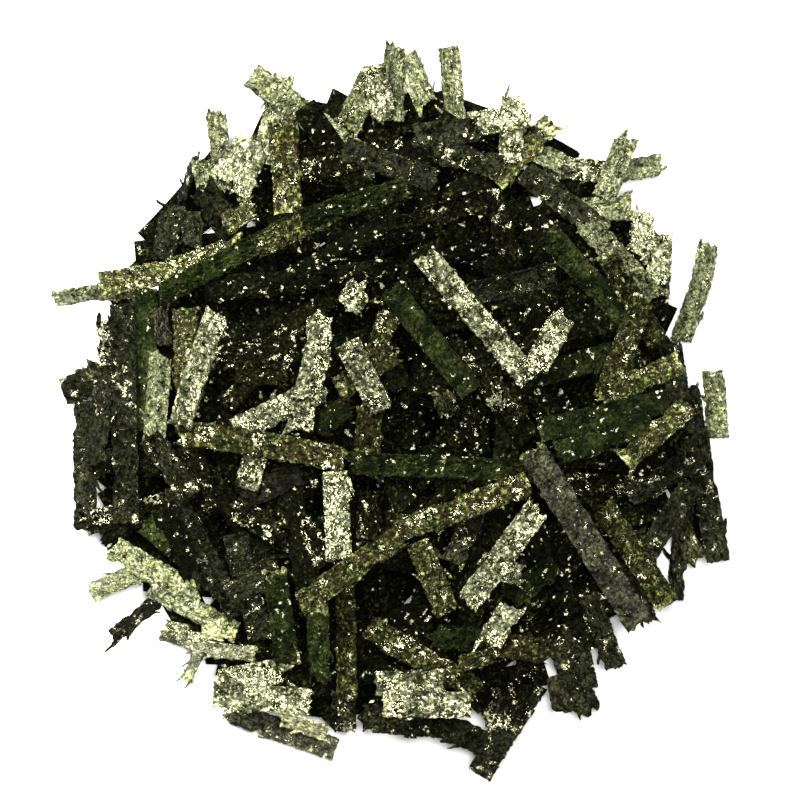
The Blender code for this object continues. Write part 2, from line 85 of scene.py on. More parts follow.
SEED = 18
LARGEST_GROUP_COUNT = 60
GROUP_REACH = 21 * MM
FLAT_SHREDS = 14
FLAT_RADIUS = 36 * MM
FLAT_LENGTH = (17 * MM, 24 * MM)
FLAT_SHIFT = 2 * MM
FLAT_TRIES = 30
FLAT_GAP = 0.001 * MM
BED_SHREDS = 110
BED_RADIUS = 39 * MM
BED_ROLL = math.radians(9)
CORE_SHREDS = 60
CORE_RADIUS = 34 * MM
CORE_NARROWING = 0.5
CORE_ROLL = math.radians(25)
HIDDEN_LENGTH = (13 * MM, 27 * MM)
HIDDEN_REACH = 38 * MM
HIDDEN_ARCH = (-1.2 * MM, 1.6 * MM)
HIDDEN_BOW = 1 * MM
HIDDEN_FINISHES = ("olive", "green", "dark", "brown")
HIDDEN_CHOICES = 10
HIDDEN_TRIES = 40
VISIBLE_ROLL = 7
VISIBLE_TWIST = 8
VISIBLE_ARCH = (-0.5 * MM, 0.6 * MM)
VISIBLE_TRIES = 20
LOOSER_WITH_EACH_TRY = 1 / 6
FLAT_SEGMENTS, HIDDEN_SEGMENTS, VISIBLE_SEGMENTS = 2, 3, 4
DEEPER_THAN_WIDE = 1.07

MAP_CELL = 0.25 * MM
MAP_HALF = 56 * MM
SAMPLE_STEP = 0.2 * MM
EDGE_MARGIN = 0.3 * MM
GOLDEN = (3 - math.sqrt(5)) / 2

PHOTO_MIDDLE = (1.3 * MM, 1.04 * MM)

# The visible shreds, lowest first, in millimetres from the heap's middle: one end, the
# other end, width seen from above, finish, and sideways bow if it has one.
RIM = {
    "left_rim": (
        ((-44, 14), (-31, 15.5), 2.1, "slate"),
        ((-39.5, 1), (-39.5, -16), 3.2, "slate"),
        ((-42.5, 2), (-35, 4.5), 3.9, "slate"),
        ((-41, 6), (-35.5, 3), 2.9, "pale"),
        ((-40, -8), (-32.5, -5.5), 3.1, "slate"),
        ((-39.5, -15), (-29, -12.5), 3.4, "gloss"),
        ((-38, -18), (-30, -12), 2.9, "slate"),
        ((-39, -24), (-31, -20.5), 2.7, "slate"),
        ((-37, -30.5), (-29, -24), 2.2, "slate"),
        ((-36, -18), (-24, -25), 3.5, "slate"),
        ((-32.5, -14), (-22, -23), 3.4, "dark"),
        ((-31, -23), (-19.5, -29.5), 2.9, "green"),
        ((-30.5, -28.5), (-21, -31), 2.9, "gloss"),
        ((-24, -30), (-26.5, -35.5), 1.8, "plum"),
        ((-24.5, -29), (-19.5, -29.5), 2.0, "pale"),
    ),
    "near_rim": (
        ((-26, -31), (-16.5, -32), 2.3, "gloss"),
        ((-23, -35.5), (-11.5, -33.5), 3.4, "gloss"),
        ((-22, -39), (-7, -44.5), 3.1, "plum"),
        ((-23, -37), (-9.5, -38), 3.6, "gloss"),
        ((-15.5, -39.5), (-8, -42), 2.3, "pale"),
        ((-6, -36.5), (-6, -42), 3.4, "gloss"),
        ((-3.5, -40), (8.5, -41), 3.9, "slate"),
        ((5, -40), (14.5, -44.5), 3.6, "slate"),
        ((19, -35.5), (11.5, -47.5), 3.5, "slate"),
        ((12.5, -36.5), (14.5, -42.5), 3.4, "gloss"),
        ((21.5, -34.5), (22.5, -40), 2.6, "pale"),
        ((21, -29.5), (26.5, -40.5), 3.4, "green"),
        ((23.5, -27.5), (25.5, -36.5), 3.1, "slate"),
        ((22, -23.5), (27.5, -32), 3.5, "dark"),
        ((25.5, -23.5), (29.5, -34), 2.6, "slate"),
        ((19.5, -28), (15.5, -40), 3.6, "olive"),
    ),
    "right_rim": (
        ((30.5, -20), (34, -29), 2.6, "slate"),
        ((39, -8), (37, -25), 2.6, "slate"),
        ((36, -12), (40.5, -21), 2.6, "pale"),
        ((42, 5), (42.5, -4), 2.9, "slate"),
        ((38.5, 3.5), (42.5, -20), 3.2, "slate"),
        ((41.5, 22), (37, 7.5), 3.0, "slate", 0.7),
        ((36, 10), (39, -8), 3.1, "slate"),
        ((33, 25.5), (32.5, 19), 3.1, "gloss"),
        ((35, 23.5), (34.5, 14), 3.4, "gloss"),
        ((31.5, 26), (24, 25.5), 3.4, "slate"),
        ((37, 32), (26, 30), 3.0, "slate"),
        ((29, 30.5), (18, 31.5), 3.2, "gloss"),
        ((31.5, 37), (27.5, 27), 3.2, "slate"),
    ),
    "far_rim": (
        ((15, 35), (23.5, 31), 2.9, "slate"),
        ((21.5, 37.5), (13.5, 29), 3.0, "olive"),
        ((22, 37.5), (19, 35), 2.9, "pale"),
        ((16, 40.5), (15.5, 31.5), 3.2, "gloss"),
        ((10, 36.5), (18, 38), 3.6, "gloss"),
        ((7.5, 47), (8.5, 37), 2.9, "slate"),
        ((2, 46), (5.5, 37.5), 3.1, "slate"),
        ((0.5, 48), (0.5, 37), 2.7, "slate"),
        ((-2, 43.5), (-6, 35.5), 3.6, "green"),
        ((-2, 44.5), (-0.5, 36), 3.4, "gloss"),
        ((-22.5, 39.5), (-21.5, 27), 2.5, "slate"),
        ((-25, 34), (-27.5, 25.5), 1.2, "olive"),
        ((-28, 26.5), (-29.5, 19), 3.2, "slate"),
        ((-25.5, 25.5), (-26, 19), 3.1, "slate"),
        ((-24.5, 33), (-23, 26.5), 3.2, "green"),
        ((-25, 29.5), (-20, 22), 3.9, "green"),
        ((-18, 35.5), (-22, 29.5), 3.1, "gloss"),
        ((-13.5, 43.5), (-16.5, 31.5), 3.2, "green"),
        ((-16.5, 35), (-20, 26.5), 3.2, "gloss"),
        ((-14, 37.5), (-13, 25), 3.9, "brown"),
        ((-18, 43), (-1, 30.5), 3.6, "slate"),
    ),
}

DOME = {
    "far_band": (
        ((-21.5, 23.5), (-16.5, 26.5), 3.1, "olive"),
        ((-11.5, 30.5), (2, 33.5), 3.4, "olive"),
        ((-6, 33.5), (6.5, 29), 3.4, "slate"),
        ((2, 35), (11.5, 36), 3.4, "green"),
        ((5, 33.5), (14.5, 31), 3.4, "slate"),
        ((-37.5, 16), (-18, 21.5), 3.4, "olive", -0.8),
        ((-30.5, 14), (-11.5, 24), 3.1, "dark"),
        ((-18, 20), (-5, 26.5), 3.1, "olive"),
        ((-11.5, 24), (3, 28.5), 2.9, "dark"),
        ((-16, 15), (1.5, 25), 3.1, "dark"),
        ((0.5, 23), (12, 27), 3.1, "brown"),
        ((-8, 18), (7, 23.5), 2.3, "dark"),
        ((-15.5, 15.5), (1.5, 18), 2.9, "dark"),
        ((1.5, 17.5), (14.5, 21), 2.6, "dark"),
        ((12.5, 28.5), (16, 18), 3.1, "brown"),
        ((17, 20.5), (22, 25), 2.9, "dark"),
        ((17, 30.5), (27.5, 22.5), 3.4, "slate"),
        ((24, 25), (34, 14), 3.4, "slate"),
        ((20, 22.5), (31, 11), 3.4, "dark"),
        ((27.5, 20), (34.5, 8), 3.1, "olive"),
        ((22.5, 17.5), (8, 14), 3.1, "slate"),
    ),
    "right_side": (
        ((18, 4), (32.5, 8), 3.4, "dark"),
        ((32.5, 14), (27.5, 1), 3.4, "olive"),
        ((26, 1), (37.5, 6), 3.2, "olive"),
        ((19, -3), (36, 1), 3.1, "dark"),
        ((20.5, -6), (34, -1.5), 3.1, "dark"),
        ((30, -7), (39, 1), 3.1, "olive"),
        ((22, -9.5), (35, -10.5), 3.1, "brown"),
        ((30, -12), (40.5, -6), 3.1, "slate"),
        ((32.5, -20), (39, -9.5), 3.1, "green"),
        ((28.5, -17), (36.5, -18), 3.1, "green"),
    ),
    "left_side": (
        ((-36.5, 11.5), (-35.5, -0.5), 3.1, "gloss"),
        ((-31.5, 15.5), (-31.5, -3), 3.0, "dark"),
        ((-37, 4.5), (-38, -8), 2.9, "slate"),
        ((-34.5, 14.5), (-34, -15), 3.5, "slate"),
        ((-30, 14), (-29, 8), 1.7, "plum"),
        ((-29.5, 8), (-30.5, -5), 3.1, "slate"),
        ((-25.5, -4), (-23.5, -14), 3.2, "olive"),
        ((-28.5, -10), (-19.5, -27), 3.1, "slate"),
        ((-29, -12), (-25, -22.5), 3.1, "dark"),
        ((-31, -3.5), (-25.5, -11.5), 3.1, "slate"),
        ((-21, -12), (-13, -17), 3.4, "olive"),
        ((-20, -16), (-16.5, -30), 3.4, "slate"),
        ((-21.5, -25), (-14.5, -20), 3.4, "slate"),
        ((-15, -20), (-13, -33.5), 3.4, "dark"),
        ((-9.5, -25), (-9, -36.5), 3.1, "dark"),
        ((-23, 6.5), (-11.5, 7.5), 3.4, "olive"),
        ((-22, -0.5), (-10, 13), 3.2, "brown"),
        ((-20, 4.5), (-11.5, 4.5), 3.4, "olive"),
        ((-26.5, 13), (-26, 0.5), 3.2, "brown"),
        ((-11.5, -14.5), (-8, -20), 3.4, "olive"),
        ((-19.5, -12), (-11, -8), 3.4, "plum"),
    ),
    "middle": (
        ((-1.5, 9.5), (1.5, 2.5), 3.1, "dark"),
        ((0, 12.5), (-3, 4), 3.1, "olive"),
        ((-7, 2.5), (2, 7.5), 3.1, "olive"),
        ((6.5, 9), (17, -1.5), 3.4, "olive"),
        ((-11.5, -4), (-4.5, 1), 3.1, "dark"),
        ((-2.5, 1.5), (-3, -7.5), 3.6, "brown"),
        ((1.5, 1.5), (10.5, 0.5), 2.6, "dark"),
        ((6.5, 3), (8, -1.5), 2.9, "green"),
        ((10.5, 1), (11.5, -6), 2.9, "dark"),
        ((-3, -17), (-2.5, -10.5), 2.9, "olive"),
        ((8, -20), (11.5, -12), 3.1, "green"),
        ((-5, -30), (6.5, -25), 3.1, "dark"),
        ((18, -14.5), (23.5, -27.5), 3.4, "dark"),
    ),
    "near_side": (
        ((4, -29), (13, -30), 3.4, "dark"),
        ((14.5, -25), (22, -20), 3.4, "dark"),
        ((-3, -28), (11.5, -36.5), 3.4, "olive"),
        ((6.5, -33.5), (14.5, -31.5), 2.1, "olive"),
        ((11.5, -30), (22, -31.5), 3.4, "olive"),
        ((-6, -22.5), (-5.5, -38.5), 2.7, "brown"),
        ((-2.5, -35.5), (7.5, -35), 3.5, "gloss"),
        ((-1, -38), (10.5, -38), 3.5, "gloss"),
    ),
    "crown": (
        ((-0.5, 16), (10.5, 2), 3.4, "dark"),
        ((-7, -7), (17.5, -8), 3.2, "dark"),
        ((-20, -3), (-7.5, 3), 3.5, "gloss"),
        ((-16.5, -4), (-18.5, -10.5), 3.4, "gloss"),
        ((-28.5, -3), (-4.5, -7), 3.5, "olive", 0.4),
        ((-22, 13), (-27, -2.5), 3.4, "gloss"),
        ((-7, -8), (-6.5, -20), 3.5, "gloss"),
        ((18, -9.5), (0.5, -16), 3.4, "brown"),
        ((3.5, -17), (7.5, -26.5), 3.4, "olive"),
        ((2.5, -15.5), (-12, -25.5), 3.4, "olive"),
        ((16, -25), (11.5, -32), 3.4, "gloss"),
        ((11.5, -20), (17, -21.5), 2.9, "gloss"),
        ((19.5, -12), (9.5, -25.5), 3.5, "gloss"),
        ((27, -12), (36, -25.5), 3.4, "olive"),
        ((17.5, -4.5), (32.5, -28.5), 3.9, "plum"),
        ((-2.5, 17), (-6, 12), 3.5, "gloss"),
        ((-11, 2), (-11.5, -3), 3.5, "gloss"),
        ((-9, 13.5), (-11, 1), 3.6, "gloss", 0.7),
        ((-5.5, 8.5), (-1, -0.5), 3.5, "gloss"),
        ((4, 20), (18, 3.5), 3.4, "gloss"),
        ((12, 2), (14.5, -1), 1.7, "gloss"),
        ((23, 13.5), (18, 4), 3.5, "gloss"),
    ),
}

APART = ("near_side", "crown")


class Shred:
    """One strip of nori: its plan, how it is turned, and where it comes to rest."""

    def __init__(self, start, end, width=SHRED_WIDTH, finish="olive", segments=HIDDEN_SEGMENTS):
        self.start = np.array(start, float)
        self.end = np.array(end, float)
        self.width = width
        self.finish = finish
        self.segments = segments
        self.roll = 0.0
        self.twist = 0.0
        self.arch = 0.0
        self.bow = 0.0
        self.height = 0.0
        self.pitch = 0.0

    def middle(self):
        return (self.start + self.end) / 2

    def length(self):
        return float(np.hypot(*(self.end - self.start)))

    def edges(self):
        """The two long edges at each segment's ends, as points in space."""
        share = np.linspace(0, 1, self.segments + 1)
        forward = (self.end - self.start) / self.length()
        side = np.array((-forward[1], forward[0]))
        hump = 4 * share * (1 - share)
        plan = (
            self.start * (1 - share)[:, None]
            + self.end * share[:, None]
            + side * (self.bow * hump)[:, None]
        )
        rise = self.arch * (hump - 2 / 3)
        rise += self.height + self.pitch * (share - 0.5) * self.length()
        centre = np.column_stack([plan, rise])
        roll = self.roll + self.twist * (share - 0.5)
        across = np.column_stack(
            [side[0] * np.cos(roll), side[1] * np.cos(roll), np.sin(roll)]
        )
        half = self.width / 2
        return centre + across * half, centre - across * half

    def samples(self):
        """Points over the sheet's middle surface, their normals, and their distance along it."""
        left, right = self.edges()
        along_count = max(2, math.ceil(self.length() / SAMPLE_STEP))
        across_count = max(2, math.ceil(self.width / SAMPLE_STEP))
        share = np.linspace(0, 1, along_count + 1)
        segment = np.minimum((share * self.segments).astype(int), self.segments - 1)
        part = (share * self.segments - segment)[:, None]
        upper = left[segment] * (1 - part) + left[segment + 1] * part
        lower = right[segment] * (1 - part) + right[segment + 1] * part
        ahead = (left + right)[segment + 1] - (left + right)[segment]
        normal = np.cross(ahead, upper - lower)
        normal /= np.linalg.norm(normal, axis=1)[:, None]
        over = np.linspace(0, 1, across_count + 1)[None, :, None]
        points = lower[:, None] * (1 - over) + upper[:, None] * over
        normals = np.repeat(normal[:, None], across_count + 1, axis=1)
        distance = np.repeat(((share - 0.5) * self.length())[:, None], across_count + 1, axis=1)
        return points, normals, distance

    def corners(self, thickness=SHRED_THICKNESS):
        """The four corners of the shred's section at each segment's ends."""
        left, right = self.edges()
        ahead = np.gradient(left + right, axis=0)
        normal = np.cross(ahead, left - right)
        normal *= thickness / 2 / np.linalg.norm(normal, axis=1)[:, None]
        return np.stack([left + normal, left - normal, right - normal, right + normal], axis=1)

    def core(self):
        """The closed surface of a thinner shred inside this one, to test what it cuts into."""
        faces = [(0, 1, 2, 3)]
        for ring in range(0, 4 * self.segments, 4):
            for corner in range(4):
                after = (corner + 1) % 4
                faces.append((ring + corner, ring + after, ring + 4 + after, ring + 4 + corner))
        last = 4 * self.segments
        faces.append((last + 3, last + 2, last + 1, last))
        corners = self.corners(CORE_THICKNESS).reshape(-1, 3).tolist()
        return BVHTree.FromPolygons(corners, faces)


class Pile:
    """All that has been laid, in groups of shreds that cling together.

    Each group has a height map of its own upper side, and one that is a margin wider. The
    bare cells are those that no shred covers.
    """

    def __init__(self):
        cells = int(2 * MAP_HALF / MAP_CELL)
        self.groups = []
        self.regions = []
        self.tops = np.full((LARGEST_GROUP_COUNT, cells, cells), -1, np.float32)
        self.wide_tops = self.tops.copy()
        self.bare = np.ones((cells, cells), bool)

    def cells(self, points):
        index = ((points[..., :2] + MAP_HALF) / MAP_CELL).astype(int)
        return index[..., 0], index[..., 1]

    def groups_near(self, shred):
        """The groups that have something below the shred, nearest first."""
        count = len(self.groups)
        column = self.tops[(slice(count), *self.cells(shred.samples()[0]))]
        away = {}
        for group in range(count):
            if column[group].max() > 0:
                away[group] = np.hypot(*(self.groups[group][0].middle() - shred.middle()))
        return [group for group in sorted(away, key=away.get) if away[group] < GROUP_REACH]

    def settle(self, shred, own=None):
        """Lowers the shred onto the pile. It sinks into its own group and clears all others.

        It tips towards the lower side for as long as that brings its middle down enough, so
        it is level over a ridge near its middle and follows a slope.
        """
        shred.height = 0.0
        shred.pitch = 0.0
        points, normals, distance = shred.samples()
        under = points - normals * SHRED_THICKNESS / 2
        cells = self.cells(under)
        reach = self.wide_tops[(slice(max(len(self.groups), 1)), *cells)] + CLEARANCE
        if own is not None:
            reach[own] = self.tops[(own, *cells)] - CLING_DEPTH
        need = (np.maximum(reach.max(axis=0), 0) - under[..., 2]).ravel()
        distance = distance.ravel()
        low, high = -STEEPEST_PITCH, STEEPEST_PITCH
        for _ in range(SETTLING_STEPS):
            first = low + GOLDEN * (high - low)
            second = high - GOLDEN * (high - low)
            first_cost = (need - first * distance).max() + TIPPING * first**2
            second_cost = (need - second * distance).max() + TIPPING * second**2
            if first_cost < second_cost:
                high = second
            else:
                low = first
        shred.pitch = float(low + high) / 2
        shred.height = float((need - shred.pitch * distance).max())

    def clings(self, shred, own):
        """Whether the settled shred really cuts into a shred of its own group."""
        core = shred.core()
        return any(core.overlap(other.laid_core) for other in self.groups[own])

    def add(self, shred, own):
        """Adds the shred's upper side to its group's maps."""
        shred.laid_core = shred.core()
        self.groups[own].append(shred)
        points, normals, _ = shred.samples()
        top = points + normals * SHRED_THICKNESS / 2
        np.maximum.at(self.tops[own], self.cells(top), top[..., 2])
        self.bare[self.cells(top)] = False
        for shift_x in (-EDGE_MARGIN, 0, EDGE_MARGIN):
            for shift_y in (-EDGE_MARGIN, 0, EDGE_MARGIN):
                cells = self.cells(top[..., :2] + (shift_x, shift_y))
                np.maximum.at(self.wide_tops[own], cells, top[..., 2])

    def bare_under(self, shred):
        """How much of the shred has nothing below it."""
        return int(self.bare[self.cells(shred.samples()[0])].sum())

    def start_group(self, shred, region):
        self.groups.append([])
        self.regions.append(region)
        self.add(shred, len(self.groups) - 1)

    def join_group(self, make, tries):
        """Lays a shred that clings to a group near it. Returns whether one took hold."""
        for attempt in range(tries):
            shred = make(attempt)
            for group in self.groups_near(shred):
                self.settle(shred, group)
                if self.clings(shred, group):
                    self.add(shred, group)
                    return True
        return False


def straight_shred(middle, yaw, length, segments):
    """A shred from its middle, its direction and its length."""
    reach = np.array((math.cos(yaw), math.sin(yaw))) * length / 2
    return Shred(middle - reach, middle + reach, segments=segments)


def lay_first_shreds(pile, random):
    """A few shreds lie flat on the surface in a sunflower's spacing, clear of the others."""
    golden_angle = math.pi * (3 - math.sqrt(5))
    for number in range(FLAT_SHREDS):
        distance = FLAT_RADIUS * math.sqrt((number + 0.5) / FLAT_SHREDS)
        angle = number * golden_angle
        spot = np.array((math.cos(angle), math.sin(angle) * DEEPER_THAN_WIDE)) * distance
        for _ in range(FLAT_TRIES):
            middle = spot + random.uniform(-FLAT_SHIFT, FLAT_SHIFT, 2)
            yaw = random.uniform(0, math.pi)
            shred = straight_shred(middle, yaw, random.uniform(*FLAT_LENGTH), FLAT_SEGMENTS)
            pile.settle(shred)
            if shred.height < SHRED_THICKNESS / 2 + FLAT_GAP:
                pile.start_group(shred, "lower")
                break


def hidden_place(random, radius):
    """A straight shred at random, kept within the hidden shreds' reach."""
    distance = radius * math.sqrt(random.uniform())
    angle = random.uniform(0, 2 * math.pi)
    middle = np.array((math.cos(angle), math.sin(angle) * DEEPER_THAN_WIDE)) * distance
    yaw = random.uniform(0, math.pi)
    shred = straight_shred(middle, yaw, random.uniform(*HIDDEN_LENGTH), HIDDEN_SEGMENTS)
    for end in (shred.start.copy(), shred.end.copy()):
        beyond = np.hypot(end[0], end[1] / DEEPER_THAN_WIDE) - HIDDEN_REACH
        if beyond > 0:
            inwards = end * beyond / np.hypot(*end)
            shred.start -= inwards
            shred.end -= inwards
    return shred


def hidden_shred(pile, random, radius, largest_roll):
    """A shred inside the heap, at the barest of a few places."""
    places = [hidden_place(random, radius) for _ in range(HIDDEN_CHOICES)]
    shred = max(places, key=pile.bare_under)
    shred.roll = random.uniform(-largest_roll, largest_roll)
    shred.twist = random.uniform(-largest_roll, largest_roll)
    shred.arch = random.uniform(*HIDDEN_ARCH) * largest_roll / CORE_ROLL
    shred.bow = random.uniform(-HIDDEN_BOW, HIDDEN_BOW)
    shred.finish = str(random.choice(HIDDEN_FINISHES))
    return shred


def visible_shred(row, random, attempt):
    """A shred of the tables. One that looks narrow is a full width one, rolled on its side."""
    start, end, seen_width, finish, *bow = row
    seen_width *= MM
    width = max(SHRED_WIDTH, seen_width)
    ends = np.array((start, end)) * MM
    shred = Shred(*ends, width, finish, VISIBLE_SEGMENTS)
    looseness = 1 + attempt * LOOSER_WITH_EACH_TRY
    lean = math.acos(seen_width / width) * random.choice((-1, 1))
    shred.roll = lean + math.radians(random.uniform(-VISIBLE_ROLL, VISIBLE_ROLL)) * looseness
    shred.twist = math.radians(random.uniform(-VISIBLE_TWIST, VISIBLE_TWIST))
    shred.arch = random.uniform(*VISIBLE_ARCH) * looseness
    shred.bow = sum(bow) * MM
    return shred


def lay_visible(pile, table, random):
    """Lays the shreds of one table. Those at the top stay apart, as do any that take no hold."""
    for region, rows in table.items():
        tries = 0 if region in APART else VISIBLE_TRIES
        for row in rows:
            if not pile.join_group(lambda attempt: visible_shred(row, random, attempt), tries):
                shred = visible_shred(row, random, 0)
                pile.settle(shred)
                pile.start_group(shred, region)


def centre_heap(pile):
    """Moves the heap so that the middle of its box is over the origin, and says how far."""
    shreds = [shred for group in pile.groups for shred in group]
    corners = np.concatenate([shred.corners()[..., :2].reshape(-1, 2) for shred in shreds])
    middle = (corners.min(axis=0) + corners.max(axis=0)) / 2
    for number, shred in enumerate(shreds):
        shred.start = shred.start - middle
        shred.end = shred.end - middle
        shred.number = number
        shred.visible = shred.segments == VISIBLE_SEGMENTS
    return middle


def lay_heap():
    """Lays every shred. Returns the pile and how far it was moved."""
    random = np.random.default_rng(SEED)
    pile = Pile()
    lay_first_shreds(pile, random)
    for _ in range(BED_SHREDS):
        pile.join_group(lambda _: hidden_shred(pile, random, BED_RADIUS, BED_ROLL), HIDDEN_TRIES)
    lay_visible(pile, RIM, random)
    for number in range(CORE_SHREDS):
        radius = CORE_RADIUS * (1 - CORE_NARROWING * number / CORE_SHREDS)
        pile.join_group(lambda _: hidden_shred(pile, random, radius, CORE_ROLL), HIDDEN_TRIES)
    lay_visible(pile, DOME, random)
    return pile, centre_heap(pile)


def group_names(pile):
    """The name of each group's CAD node."""
    counts = {}
    names = []
    for shreds, region in zip(pile.groups, pile.regions):
        kind = f"{region}_shred" if len(shreds) == 1 else f"{region}_tangle"
        counts[kind] = counts.get(kind, 0) + 1
        names.append(f"{kind}_{counts[kind]:02d}")
    return names


PILE, HEAP_MIDDLE = lay_heap()


# Sizes and colours that a user would change

def number_property(name, description, default, unit="LENGTH"):
    return FloatProperty(name=name, description=description, default=default, unit=unit)


def colour_property(name, description, default):
    return FloatVectorProperty(
        name=name, description=description, default=default, size=3, min=0, max=1, subtype="COLOR"
    )


class NoriSheet(bpy.types.PropertyGroup):
    thickness: number_property("Thickness", "Thickness of the dried sheet", 0.12 * MM)
    facet: number_property("Facet", "Spacing of the points of a visible shred", 0.28 * MM)
    hidden_facet: number_property(
        "Hidden facet", "Spacing of the points of a shred inside the heap", 0.8 * MM
    )
    crinkle_width: number_property(
        "Crinkle width", "Distance from one crinkle to the next", 1.0 * MM
    )
    crinkle_height: number_property("Crinkle height", "Height of the crinkles", 0.24 * MM)
    curl: number_property("Curl", "How far a shred's long edges curl up or down", 0.35 * MM)
    edge_wear: number_property(
        "Edge wear", "Depth of the nicks in a shred's long edges", 0.34 * MM
    )
    tear_depth: number_property("Tear depth", "Depth of a torn end", 1.3 * MM)


class NoriColours(bpy.types.PropertyGroup):
    deep_green: colour_property("Deep green", "The darkest of the laver", (0.0012, 0.0026, 0.0006))
    olive: colour_property("Olive", "Most of the sheet", (0.031, 0.037, 0.010))
    brown: colour_property("Brown", "Reddish fronds in the sheet", (0.044, 0.031, 0.013))
    plum: colour_property("Plum", "The matt side of some shreds", (0.060, 0.053, 0.043))
    # Slate: the rough side's grey-green, also painted lighter as the glow of the pale floor
    # through the rim shreds.
    slate: colour_property("Slate", "The rough side of the sheet", (0.265, 0.295, 0.165))
    lichen: colour_property("Lichen", "Worn patches between the fronds", (0.100, 0.110, 0.055))
    moss: colour_property("Moss", "Thin spots that let light through", (0.210, 0.240, 0.060))
    # Straw is painted light let through the frayed, thin ends.
    straw: colour_property("Straw", "Frayed, nearly clear ends", (0.720, 0.740, 0.320))
    # Painted glints: the light flecks on the glossy side are painted into the colour.
    painted_glint: colour_property("Silver", "Flecks on the glossy side", (0.560, 0.570, 0.330))
    sheen: colour_property("Sheen", "Tint of the sheet's shine", (1.0, 1.0, 0.62))


class NoriStage(bpy.types.PropertyGroup):
    view_width: number_property("View width", "Width of floor in the picture", 104 * MM)
    camera_height: number_property("Camera height", "Height of the camera over the floor", 1.2)
    window_power: number_property("Window", "Power of the soft key light", 26.0, "POWER")
    glint_power: number_property("Glint", "Power of the light overhead", 12.0, "POWER")
    floor_colour: colour_property("Floor", "The pale floor", (0.90, 0.90, 0.88))


# The sheet's material

# Each finish: its main and second colours and its flecks, where its sheen and its film begin,
# then the width of the film's patches and the depth of its crinkles, in millimetres.
FINISHES = {
    "slate": ("slate", "lichen", "moss", 0.60, 0.60, 1.6, 0.6),
    "plum": ("plum", "lichen", "plum", 0.70, 0.64, 1.6, 0.4),
    "olive": ("olive", "brown", "moss", 0.64, 0.57, 1.6, 0.6),
    "brown": ("brown", "olive", "moss", 0.64, 0.57, 1.6, 0.6),
    "green": ("lichen", "slate", "moss", 0.66, 0.59, 1.6, 0.6),
    "dark": ("deep_green", "olive", "olive", 0.86, 0.63, 1.2, 0.5),
    "gloss": ("olive", "slate", "painted_glint", 0.59, 0.48, 3.0, 0.6),
    # The pale finish's straw colours are painted light let through a thin sheet.
    "pale": ("straw", "slate", "straw", 0.60, 0.60, 1.6, 0.5),
    # The inner finish, with deep green for its second colour, is painted darker as shade inside
    # the heap.
    "inner": ("olive", "deep_green", "moss", 0.74, 0.64, 1.2, 0.5),
}
# Each layer of the colour: the width of its blotches, the detail and the roughness of their
# outlines, and the noise values at which they begin and are full.
MOTTLING = {
    "broad": (2.5 * MM, 2, 0.6, 0.38, 0.64),
    # The patches darken the colour: partly the sheet's uneven tone, partly painted shade along its
    # slow waves.
    "patches": (5 * MM, 1, 0.6, 0.30, 0.55),
    "fronds": (1.3 * MM, 3, 0.7, 0.36, 0.58),
    "pits": (0.5 * MM, 2, 0.6, 0.38, 0.58),
    "specks": (0.6 * MM, 2, 0.6, 0.54, 0.68),
}
PIT_COLOUR = 0.2
PATCH_COLOUR = 0.4
# The blotches of the painted light let through the thin ends, and where it begins and is full.
END_WIDTH = 0.8 * MM
END_RANGE = (0.85, 1.15)
FLAKE_WIDTH = 0.6 * MM
FLAKE_DRIFT = 1.5
FLAKE_TILT = 0.35
# Where the painted shade along the creases begins and is full.
PAINTED_CREASE_SHADE_RANGE = (-0.10, 0.14)
FOLD = {"width": 1.3 * MM, "detail": 1, "roughness": 0.5, "distortion": 0.8}
FOLD_DEPTH = 1.0
CREASE_DEPTH = 0.5
GRAIN = {"width": 0.5 * MM, "detail": 1, "roughness": 0.4, "distortion": 0.5}
GRAIN_DEPTH = 0.6
SHEEN_WIDTH = 1.1 * MM
SHEEN_BY_TONE_AND_PAINTED_LIGHT = 0.15
SHEEN_SOFTNESS = 0.20
FILM_SOFTNESS = 0.06
MATT_SURFACE = {"Roughness": 0.6, "Specular IOR Level": 0.03}
SHEEN_SURFACE = {"Roughness": 0.24, "IOR": 1.5, "Specular IOR Level": 0.6}
FILM_SURFACE = {"Roughness": 0.11, "IOR": 1.9, "Specular IOR Level": 1.0}


def new_material(name):
    material = bpy.data.materials.new(name)
    material.use_nodes = True
    return material, material.node_tree, material.node_tree.nodes["Principled BSDF"]


def fill(tree, node, inputs):
    """Gives a node its inputs, each another node's output or a value."""
    for socket, source in inputs.items():
        if isinstance(source, bpy.types.NodeSocket):
            tree.links.new(source, node.inputs[socket])
        else:
            node.inputs[socket].default_value = source
    return node


def add_node(tree, kind, inputs, **settings):
    node = tree.nodes.new(f"ShaderNode{kind}")
    for name, value in settings.items():
        setattr(node, name, value)
    return fill(tree, node, inputs)


def attribute(tree, name):
    return add_node(tree, "Attribute", {}, attribute_name=name).outputs["Vector"]


def blotches(tree, place, width, detail, roughness=0.6, distortion=0.0, output="Fac"):
    """A noise whose blotches are about the given width."""
    inputs = {"Vector": place, "Scale": 1 / width, "Detail": detail}
    inputs |= {"Roughness": roughness, "Distortion": distortion}
    return add_node(tree, "TexNoise", inputs).outputs[output]


def ramp(tree, value, low, high):
    """Stretches a value so that low becomes 0 and high becomes 1."""
    inputs = {"Value": value, "From Min": low, "From Max": high}
    return add_node(tree, "MapRange", inputs).outputs["Result"]


def blend(tree, share, first, second):
    """A mix of two colours, each a colour or another node's output."""
    inputs = {0: share}
    for socket, colour in ((6, first), (7, second)):
        inputs[socket] = colour if isinstance(colour, bpy.types.NodeSocket) else (*colour, 1)
    return add_node(tree, "Mix", inputs, data_type="RGBA").outputs[2]


def calculate(tree, operation, *values):
    inputs = dict(enumerate(values))
    return add_node(tree, "Math", inputs, operation=operation).outputs["Value"]


def calculate_vector(tree, operation, inputs):
    return add_node(tree, "VectorMath", inputs, operation=operation).outputs["Vector"]


